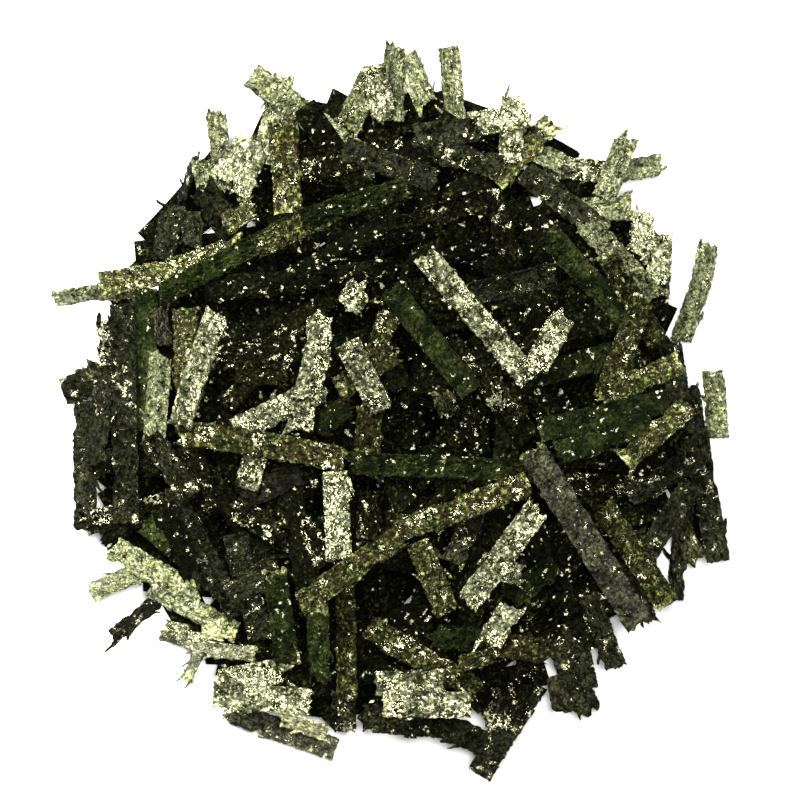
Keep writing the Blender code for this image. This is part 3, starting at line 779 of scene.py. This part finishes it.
def bump(tree, height, depth, below):
    inputs = {"Strength": 1.0, "Distance": depth, "Height": height, "Normal": below}
    return add_node(tree, "Bump", inputs).outputs["Normal"]


def drifted_place(tree, place):
    """The sheet's coordinates, shifted about so that no flake has straight sides."""
    drift = blotches(tree, place, FLAKE_WIDTH, 1, 0.5, output="Color")
    reach = (FLAKE_DRIFT * FLAKE_WIDTH,) * 3
    return calculate_vector(tree, "MULTIPLY_ADD", {0: drift, 1: reach, 2: place})


def flakes(tree, place, **settings):
    """The flakes that the sheet is pressed from."""
    inputs = {"Vector": place, "Scale": 1 / FLAKE_WIDTH}
    return add_node(tree, "TexVoronoi", inputs, **settings)


def tilted_face(tree, place):
    """The sheet's face, tilted at random on each of its flakes."""
    colour = flakes(tree, place).outputs["Color"]
    inputs = {0: colour, 1: (2 * FLAKE_TILT,) * 3, 2: (-FLAKE_TILT,) * 3}
    slope = calculate_vector(tree, "MULTIPLY_ADD", inputs)
    face = add_node(tree, "NewGeometry", {}).outputs["Normal"]
    total = calculate_vector(tree, "ADD", {0: face, 1: slope})
    return calculate_vector(tree, "NORMALIZE", {0: total})


def mottled_colour(tree, place, creases, thin, layers, chosen):
    """The colour of each spot, from the mottling's layers and the finish's three colours, with
    painted light let through the thin ends, painted glints among the flecks, and painted shade in
    the creases and partly in the darker patches.
    """
    colours = bpy.context.scene.nori_colours
    dark = tuple(colours.deep_green)
    main, second, flecks = chosen
    # Painted light let through the thin, frayed ends: there the colour turns to pale moss and
    # straw.
    frayed = calculate(tree, "ADD", thin, blotches(tree, place, END_WIDTH, 2))
    clear = blend(tree, layers["broad"], colours.moss, colours.straw)
    colour = blend(tree, layers["broad"], main, second)
    colour = blend(tree, ramp(tree, frayed, *END_RANGE), colour, clear)
    colour = blend(tree, layers["fronds"], dark, colour)
    # The flecks: on the glossy finish they are painted glints, and where they are moss or straw
    # they are painted light let through thin spots.
    colour = blend(tree, layers["specks"], colour, flecks)
    # Dark pits, and darker patches that are partly painted shade.
    for layer, share in (("pits", PIT_COLOUR), ("patches", PATCH_COLOUR)):
        colour = blend(tree, layers[layer], blend(tree, share, dark, colour), colour)
    # Painted shade: the colour darkens to deep green along the flakes' creases.
    return blend(tree, ramp(tree, creases, *PAINTED_CREASE_SHADE_RANGE), dark, colour)


def sheet_material(name, chosen, sheen_start, film_start, film_width, crinkle):
    """Dried laver: mottled, flaky fronds with a broken sheen and patches of shining film."""
    _, tree, matt = new_material(name)
    colours = bpy.context.scene.nori_colours
    place = attribute(tree, "sheet")
    look = add_node(tree, "SeparateXYZ", {"Vector": attribute(tree, "look")})
    tone_and_painted_light, shine, thin = look.outputs
    layers = {
        layer: ramp(tree, blotches(tree, place, width, detail, roughness), start, full)
        for layer, (width, detail, roughness, start, full) in MOTTLING.items()
    }
    drifted = drifted_place(tree, place)
    creases = flakes(tree, drifted, feature="DISTANCE_TO_EDGE").outputs["Distance"]
    colour = mottled_colour(tree, place, creases, thin, layers, chosen)
    # The colour is scaled by the shred's random tone and its region's painted light and shade.
    colour = calculate_vector(tree, "SCALE", {0: colour, "Scale": tone_and_painted_light})

    face = tilted_face(tree, drifted)
    face = bump(tree, blotches(tree, place, **FOLD), FOLD_DEPTH * crinkle, face)
    face = bump(tree, creases, CREASE_DEPTH * crinkle, face)
    face = bump(tree, blotches(tree, place, **GRAIN), GRAIN_DEPTH * crinkle, face)

    every = {"Normal": face, "Specular Tint": (*colours.sheen, 1)}
    fill(tree, matt, {"Base Color": colour} | every | MATT_SURFACE)
    sheen = add_node(tree, "BsdfPrincipled", {"Base Color": colour} | every | SHEEN_SURFACE)
    # The film's colour takes painted glints in its flecks.
    shining = blend(tree, layers["specks"], colour, colours.painted_glint)
    film = add_node(tree, "BsdfPrincipled", {"Base Color": shining} | every | FILM_SURFACE)
    # The sheen's share rises with the tone and painted light, so shreds painted dark as shade also
    # shine less.
    sheen_from_tone_and_painted_light = calculate(tree, "MULTIPLY", tone_and_painted_light, SHEEN_BY_TONE_AND_PAINTED_LIGHT)
    spots = calculate(tree, "ADD", blotches(tree, place, SHEEN_WIDTH, 2), sheen_from_tone_and_painted_light)
    film_spots = calculate(tree, "ADD", blotches(tree, place, film_width, 3), shine)
    surface = matt.outputs["BSDF"]
    for value, start, softness, upper in (
        (spots, sheen_start, SHEEN_SOFTNESS, sheen),
        (film_spots, film_start, FILM_SOFTNESS, film),
    ):
        share = ramp(tree, value, start, start + softness)
        inputs = {"Fac": share, 1: surface, 2: upper.outputs["BSDF"]}
        surface = add_node(tree, "MixShader", inputs).outputs["Shader"]
    fill(tree, tree.nodes["Material Output"], {"Surface": surface})


def make_materials():
    """One material for each finish of the tables, and one for the shreds inside the heap."""
    colours = bpy.context.scene.nori_colours
    for finish, (*chosen, sheen_start, film_start, film_width, crinkle) in FINISHES.items():
        chosen = [getattr(colours, colour) for colour in chosen]
        sheet_material(
            f"{finish} sheet", chosen, sheen_start, film_start, film_width * MM, crinkle * MM
        )


# The sheets

# Each region's shreds have their colour scaled as painted light and shade: the rims and the left
# side painted lighter; the far band, the sides and the middle painted darker; the shreds inside
# the heap darkest, as painted shade.
PAINTED_LIGHT_BY_REGION = {
    "left_rim": 2.0, "near_rim": 1.5, "right_rim": 1.5, "far_rim": 1.6, "far_band": 0.9,
    "right_side": 0.8, "left_side": 1.2, "middle": 0.6, "near_side": 0.8, "crown": 1.0,
    "lower": 0.15,
}
CRINKLE = {
    "gloss": 1.25, "olive": 1.0, "brown": 1.0, "green": 1.0,
    "dark": 0.8, "slate": 0.7, "plum": 0.6, "pale": 1.1,
}
SHAPE_SEED = 1000
TONE_CHANGE = (0.7, 1.2)
SHINE_CHANGE = (-0.03, 0.03)
NUMBER_SHIFT = 0.013

SLIVERS = (3, 9)
SLIVER_START = (0.05, 0.95)
SLIVER_INSET = (0.3, 1.0)
SLIVER_TURN = (-0.3, 0.7)
SLIVER_LENGTH = (0.8 * MM, 2.4 * MM)
SLIVER_WIDTH = (0.3 * MM, 0.9 * MM)
SLIVER_RISE = (0.1 * MM, 0.7 * MM)
SLIVER_BASE = 0.02 * MM
SLIVER_BEND = 1.5
SLIVER_TAPER = 0.7
# A sliver's tip counts as this thin, so it takes some of the painted light let through thin ends.
SLIVER_THINNESS = 0.3
SLIVER_SHIFT = 7 * MM
SLIVER_SEGMENTS = 4

END_KINDS = ("cut", "torn", "whisker")
END_CHANCES = (0.45, 0.40, 0.15)
CUT_SHARE = 0.3
SLANT = 0.35
WHISKER_PLACE = 0.8
WHISKER_HALF = 0.08
WHISKER_SLOPE = 4
THIN_REACH = 2.6 * MM
TEAR_CHANGE = (0.5, 1.3)

COARSE_NICK = 0.7 * MM
FINE_NICK = 0.3 * MM
FINE_SHARE = 0.4
LARGEST_RAGGEDNESS = 3.2
EDGE_POWER = 5
LONG_WAVE = 5 * MM
WAVE_CHANGE = (0.4, 1.2)
FOLD_GAIN = 1.6
FOLD_OCTAVES = 3


def ripple(positions, key):
    """Smooth noise from -1 to 1 along a line, different for each key."""
    return np.array([noise.noise(Vector((float(p), key * 7.31, key * 3.17))) for p in positions])


def end_cut(across, kind, depth, key):
    """How far an end is cut back at each place across the shred, from -1 to 1."""
    jags = np.abs(ripple(across * 1.9, key)) + 0.7 * np.abs(ripple(across * 5.3, key + 0.5))
    if kind == "cut":
        return depth * CUT_SHARE * jags
    slant = SLANT * (1 + across * math.sin(key * 5.1))
    if kind == "torn":
        return depth * (jags + slant)
    tip = WHISKER_PLACE * math.sin(key * 12.9)
    beside = np.clip((np.abs(across - tip) - WHISKER_HALF) * WHISKER_SLOPE, 0, 1)
    return depth * (0.8 * beside + 0.5 * jags + slant)


def bites(positions, key):
    """Rare, deep notches along an edge, from 0 to about 1."""
    return np.clip(ripple(positions * 0.55, key) - 0.3, 0, 1) * 2.2


class SheetShape:
    """The fine shape of one shred: where each point of a flat grid goes."""

    def __init__(self, shred, sizes):
        self.shred = shred
        self.sizes = sizes
        self.random = np.random.default_rng(SHAPE_SEED + shred.number)
        self.curl = sizes.curl * self.random.uniform(-1, 1)
        self.wave = self.random.uniform(*WAVE_CHANGE) * sizes.crinkle_height
        self.kinds = self.random.choice(END_KINDS, 2, p=END_CHANCES)
        self.depths = sizes.tear_depth * self.random.uniform(*TEAR_CHANGE, 2) * shred.visible
        self.raggedness = self.random.uniform(0, LARGEST_RAGGEDNESS)
        self.thin_ends = self.random.uniform(0, 1, 2) ** 3
        self.wear = sizes.edge_wear * shred.visible

    def flat(self, u, v):
        """Distances along and across the sheet, once its ends are torn and its edges worn."""
        length = self.shred.length()
        key = 0.37 * self.shred.number
        start = end_cut(v, self.kinds[0], self.depths[0], key)
        end = end_cut(v, self.kinds[1], self.depths[1], key + 1.7)
        along = start + u * (length - start - end)
        wears = []
        for side_key in (key + 3, key + 7):
            wear = np.abs(ripple(along / COARSE_NICK, side_key))
            wear += FINE_SHARE * np.abs(ripple(along / FINE_NICK, side_key + 2))
            wears.append(wear + bites(along / MM, side_key + 1) * self.raggedness)
        inwards = self.wear * np.where(v > 0, *wears)
        inwards *= np.sign(v) * np.minimum(np.abs(v), 1) ** EDGE_POWER
        return along, v * self.shred.width / 2 - inwards

    def thinness(self, along):
        """How frayed and thin the sheet is, from 0 in its middle to 1 at some of its ends."""
        first = self.thin_ends[0] * np.clip(1 - along / THIN_REACH, 0, 1)
        last = self.thin_ends[1] * np.clip(1 - (self.shred.length() - along) / THIN_REACH, 0, 1)
        return np.maximum(first, last)

    def height(self, along, across, v):
        """How far the sheet rises from its middle surface."""
        width = self.sizes.crinkle_width
        shift = 0.61 * self.shred.number
        folds = np.array([
            noise.turbulence(
                Vector((a / width, c / width, shift)), FOLD_OCTAVES, True,
                noise_basis="PERLIN_ORIGINAL",
            )
            for a, c in zip(along, across)
        ])
        folds = folds - folds.mean()
        amount = self.sizes.crinkle_height * CRINKLE[self.shred.finish]
        wave = self.wave * ripple(along / LONG_WAVE, self.shred.number * 0.9)
        return folds * amount * FOLD_GAIN + wave + self.curl * (v**2 - 1 / 3)

    def points(self, u, v, lift=0):
        """The places in space for points given along (0 to 1) and across (-1 to 1)."""
        shred = self.shred
        along, across = self.flat(u, v)
        height = self.height(along, across, v)
        share = along / shred.length()
        whole = shred.end - shred.start
        side = np.array((-whole[1], whole[0])) / shred.length()
        hump = 4 * share * (1 - share)
        slope = 4 * (1 - 2 * share)
        plan = shred.start + np.outer(share, whole) + np.outer(shred.bow * hump, side)
        rise = shred.arch * (hump - 2 / 3) + shred.height
        rise = rise + shred.pitch * (share - 0.5) * shred.length()
        ahead = np.column_stack([
            np.broadcast_to(whole, plan.shape) + np.outer(shred.bow * slope, side),
            shred.arch * slope + shred.pitch * shred.length(),
        ])
        roll = shred.roll + shred.twist * (share - 0.5)
        over = np.column_stack([side[0] * np.cos(roll), side[1] * np.cos(roll), np.sin(roll)])
        normal = np.cross(ahead, over)
        normal /= np.linalg.norm(normal, axis=1)[:, None]
        normal *= np.sign(normal[:, 2:])
        place = np.column_stack([plan, rise]) + over * across[:, None]
        place += normal * (height + lift)[:, None]
        room = self.sizes.thickness / 2
        place = np.clip(place, np.add(CAD_BOX[0], room), np.subtract(CAD_BOX[1], room))
        return place, along, across


def add_surface(sheet, columns, rows, place_points, look, number):
    """Adds a grid of crinkled sheet, with its own coordinates and look, to a mesh."""
    made = bmesh.ops.create_grid(sheet, x_segments=columns, y_segments=rows, size=1.0)
    verts = made["verts"]
    grid = np.array([vert.co[:2] for vert in verts])
    place, along, across, thin = place_points((grid[:, 0] + 1) / 2, grid[:, 1])
    sheet_layer = sheet.verts.layers.float_vector["sheet"]
    look_layer = sheet.verts.layers.float_vector["look"]
    for vert, spot, a, c, t in zip(verts, place, along, across, thin):
        vert.co = spot
        vert[sheet_layer] = (a, c, number * NUMBER_SHIFT)
        vert[look_layer] = (*look, t)
    return {face for vert in verts for face in vert.link_faces}


def add_slivers(sheet, shape, look):
    """Adds the narrow flakes that have come loose along a shred's edges."""
    random = shape.random
    length = shape.shred.length()
    half = shape.shred.width / 2
    faces = set()
    for _ in range(random.integers(*SLIVERS)):
        start = random.uniform(*SLIVER_START) * length
        side = random.choice((-1, 1)) * half * random.uniform(*SLIVER_INSET)
        turn = random.uniform(*SLIVER_TURN)
        ahead = np.array((random.choice((-1, 1)) * np.cos(turn), np.sign(side) * np.sin(turn)))
        reach = random.uniform(*SLIVER_LENGTH)
        width = random.uniform(*SLIVER_WIDTH)
        rise = random.uniform(*SLIVER_RISE)

        def place_points(u, v):
            taper = v * width / 2 * (1 - u**2 * SLIVER_TAPER)
            along = start + u * reach * ahead[0] - taper * ahead[1]
            across = side + u * reach * ahead[1] + taper * ahead[0]
            lift = SLIVER_BASE + rise * u**SLIVER_BEND
            place, _, _ = shape.points(along / length, across / half, lift)
            return place, along + SLIVER_SHIFT, across, SLIVER_THINNESS * u

        number = shape.shred.number
        faces |= add_surface(sheet, SLIVER_SEGMENTS, 1, place_points, look, number)
    return faces


def add_shred(sheet, shred, painted_light, sizes):
    """Adds one crinkled shred and its slivers to a sheet mesh."""
    spacing = sizes.facet if shred.visible else sizes.hidden_facet
    along_count = max(4, round(shred.length() / spacing))
    across_count = max(3, round(shred.width / spacing))
    shape = SheetShape(shred, sizes)
    # The first value is the shred's random tone times its region's painted light and shade.
    look = (
        shape.random.uniform(*TONE_CHANGE) * painted_light, shape.random.uniform(*SHINE_CHANGE)
    )

    def place_points(u, v):
        place, along, across = shape.points(u, v)
        return place, along, across, shape.thinness(along) * shred.visible

    faces = add_surface(sheet, along_count, across_count, place_points, look, shred.number)
    if shred.visible:
        faces |= add_slivers(sheet, shape, look)
    slot = list(FINISHES).index(shred.finish if shred.visible else "inner")
    for face in faces:
        face.material_index = slot
        face.smooth = True


def make_sheets(name, shreds, painted_light, sizes):
    """One object of thin crinkled sheets for some shreds."""
    sheet = bmesh.new()
    sheet.verts.layers.float_vector.new("sheet")
    sheet.verts.layers.float_vector.new("look")
    for shred in shreds:
        # The shreds inside the heap take the darkest painted shade.
        add_shred(sheet, shred, painted_light if shred.visible else PAINTED_LIGHT_BY_REGION["lower"], sizes)
    mesh = bpy.data.meshes.new(name)
    sheet.to_mesh(mesh)
    sheet.free()
    for finish in FINISHES:
        mesh.materials.append(bpy.data.materials[f"{finish} sheet"])
    piece = bpy.data.objects.new(name, mesh)
    bpy.context.scene.collection.objects.link(piece)
    wall = piece.modifiers.new("sheet thickness", "SOLIDIFY")
    wall.thickness = sizes.thickness
    wall.offset = 0
    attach(piece, "root")
    return piece


# One operator for each part of the heap, and one for the stage

class RegionOperator:
    """What the operators of the heap's regions have in common."""

    bl_options = {"REGISTER", "UNDO"}
    region = ""

    def execute(self, context):
        sizes = context.scene.nori_sheet
        for node, region, shreds in zip(group_names(PILE), PILE.regions, PILE.groups):
            if region == self.region:
                piece = make_sheets(f"sheet_{node}", shreds, PAINTED_LIGHT_BY_REGION[region], sizes)
                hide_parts(node)
        return {"FINISHED"}


class NORI_OT_materials(bpy.types.Operator):
    """Make the materials of the dried sheet"""

    bl_idname = "nori.materials"
    bl_label = "Nori Materials"
    bl_options = {"REGISTER", "UNDO"}

    def execute(self, context):
        make_materials()
        return {"FINISHED"}


class NORI_OT_left_rim(RegionOperator, bpy.types.Operator):
    """Make the shreds along the heap's left rim"""

    bl_idname = "nori.left_rim"
    bl_label = "Left Rim"
    region = "left_rim"


class NORI_OT_near_rim(RegionOperator, bpy.types.Operator):
    """Make the shreds along the heap's near rim"""

    bl_idname = "nori.near_rim"
    bl_label = "Near Rim"
    region = "near_rim"


class NORI_OT_right_rim(RegionOperator, bpy.types.Operator):
    """Make the shreds along the heap's right rim"""

    bl_idname = "nori.right_rim"
    bl_label = "Right Rim"
    region = "right_rim"


class NORI_OT_far_rim(RegionOperator, bpy.types.Operator):
    """Make the shreds along the heap's far rim"""

    bl_idname = "nori.far_rim"
    bl_label = "Far Rim"
    region = "far_rim"


class NORI_OT_lower(RegionOperator, bpy.types.Operator):
    """Make the shreds under and inside the heap"""

    bl_idname = "nori.lower"
    bl_label = "Lower Shreds"
    region = "lower"


class NORI_OT_far_band(RegionOperator, bpy.types.Operator):
    """Make the steep shreds across the heap's far side"""

    bl_idname = "nori.far_band"
    bl_label = "Far Band"
    region = "far_band"


class NORI_OT_right_side(RegionOperator, bpy.types.Operator):
    """Make the shreds on the heap's right side"""

    bl_idname = "nori.right_side"
    bl_label = "Right Side"
    region = "right_side"


class NORI_OT_left_side(RegionOperator, bpy.types.Operator):
    """Make the shreds on the heap's left side"""

    bl_idname = "nori.left_side"
    bl_label = "Left Side"
    region = "left_side"


class NORI_OT_middle(RegionOperator, bpy.types.Operator):
    """Make the shreds round the heap's middle"""

    bl_idname = "nori.middle"
    bl_label = "Middle"
    region = "middle"


class NORI_OT_near_side(RegionOperator, bpy.types.Operator):
    """Make the separate shreds on the heap's near side"""

    bl_idname = "nori.near_side"
    bl_label = "Near Side"
    region = "near_side"


class NORI_OT_crown(RegionOperator, bpy.types.Operator):
    """Make the separate shreds on top of the heap"""

    bl_idname = "nori.crown"
    bl_label = "Crown"
    region = "crown"


class NORI_OT_stage(bpy.types.Operator):
    """Make the floor, the lights and the camera"""

    bl_idname = "nori.stage"
    bl_label = "Stage"
    bl_options = {"REGISTER", "UNDO"}

    def execute(self, context):
        stage = context.scene.nori_stage
        make_floor(stage)
        make_lights(stage)
        make_camera(stage)
        return {"FINISHED"}


# The stage

FLOOR_REACH = 1.5
WINDOW_PLACE = (-0.25, 0.35, 0.75)
WINDOW_SIZE = 0.28
WINDOW_COLOUR = (1.0, 0.98, 0.95)
OVERHEAD_PLACE = (0.06, 0.03, 0.95)
OVERHEAD_SIZE = 0.22
OVERHEAD_COLOUR = (1, 1, 1)
AIR_STRENGTH = 0.02


def make_floor(stage):
    """A plain pale floor."""
    sheet = bmesh.new()
    bmesh.ops.create_grid(sheet, x_segments=1, y_segments=1, size=FLOOR_REACH)
    mesh = bpy.data.meshes.new("floor")
    sheet.to_mesh(mesh)
    sheet.free()
    material, tree, shader = new_material("pale_floor")
    colour = (*stage.floor_colour, 1)
    fill(tree, shader, {"Base Color": colour, "Roughness": 0.9, "Specular IOR Level": 0.1})
    mesh.materials.append(material)
    floor = bpy.data.objects.new("floor", mesh)
    bpy.context.scene.collection.objects.link(floor)


def area_light(name, place, size, power, colour):
    """A soft square light that faces the heap."""
    lamp = bpy.data.lights.new(name, "AREA")
    lamp.size = size
    lamp.energy = power
    lamp.color = colour
    light = bpy.data.objects.new(name, lamp)
    light.location = place
    light.rotation_euler = (-Vector(place)).to_track_quat("-Z", "Y").to_euler()
    bpy.context.scene.collection.objects.link(light)


def make_lights(stage):
    """A window at the far left, a smaller light overhead for the glints, and pale air."""
    area_light("window", WINDOW_PLACE, WINDOW_SIZE, stage.window_power, WINDOW_COLOUR)
    area_light("overhead", OVERHEAD_PLACE, OVERHEAD_SIZE, stage.glint_power, OVERHEAD_COLOUR)
    world = bpy.data.worlds.new("pale_air")
    world.use_nodes = True
    air = world.node_tree.nodes["Background"]
    fill(world.node_tree, air, {"Color": (1, 1, 1, 1), "Strength": AIR_STRENGTH})
    bpy.context.scene.world = world
    bpy.context.scene.view_settings.view_transform = "Standard"


def make_camera(stage):
    """A camera straight above, framed as the photograph is."""
    lens = bpy.data.cameras.new("camera")
    lens.lens = lens.sensor_width * stage.camera_height / stage.view_width
    camera = bpy.data.objects.new("camera", lens)
    camera.location = (*(np.array(PHOTO_MIDDLE) - HEAP_MIDDLE), stage.camera_height)
    bpy.context.scene.collection.objects.link(camera)
    bpy.context.scene.camera = camera


class NORI_PT_panel(bpy.types.Panel):
    """The heap's sizes and colours, and the steps that make it"""

    bl_idname = "NORI_PT_panel"
    bl_label = "Shredded Nori"
    bl_space_type = "VIEW_3D"
    bl_region_type = "UI"
    bl_category = "Nori"

    def draw(self, context):
        for group in SETTINGS:
            settings = getattr(context.scene, group)
            box = self.layout.box()
            for name in settings.__annotations__:
                box.prop(settings, name)
        for step in STEPS:
            self.layout.operator(step.bl_idname)


SETTINGS = {"nori_sheet": NoriSheet, "nori_colours": NoriColours, "nori_stage": NoriStage}
STEPS = (NORI_OT_materials, *RegionOperator.__subclasses__(), NORI_OT_stage)


def register():
    for settings in SETTINGS.values():
        bpy.utils.register_class(settings)
    for name, settings in SETTINGS.items():
        setattr(bpy.types.Scene, name, PointerProperty(type=settings))
    for step in (*STEPS, NORI_PT_panel):
        bpy.utils.register_class(step)


def unregister():
    for step in (NORI_PT_panel, *reversed(STEPS)):
        bpy.utils.unregister_class(step)
    for name, settings in SETTINGS.items():
        delattr(bpy.types.Scene, name)
        bpy.utils.unregister_class(settings)


def main():
    register()
    for step in STEPS:
        group, name = step.bl_idname.split(".")
        getattr(getattr(bpy.ops, group), name)()
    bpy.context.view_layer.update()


if __name__ == "__main__":
    main()
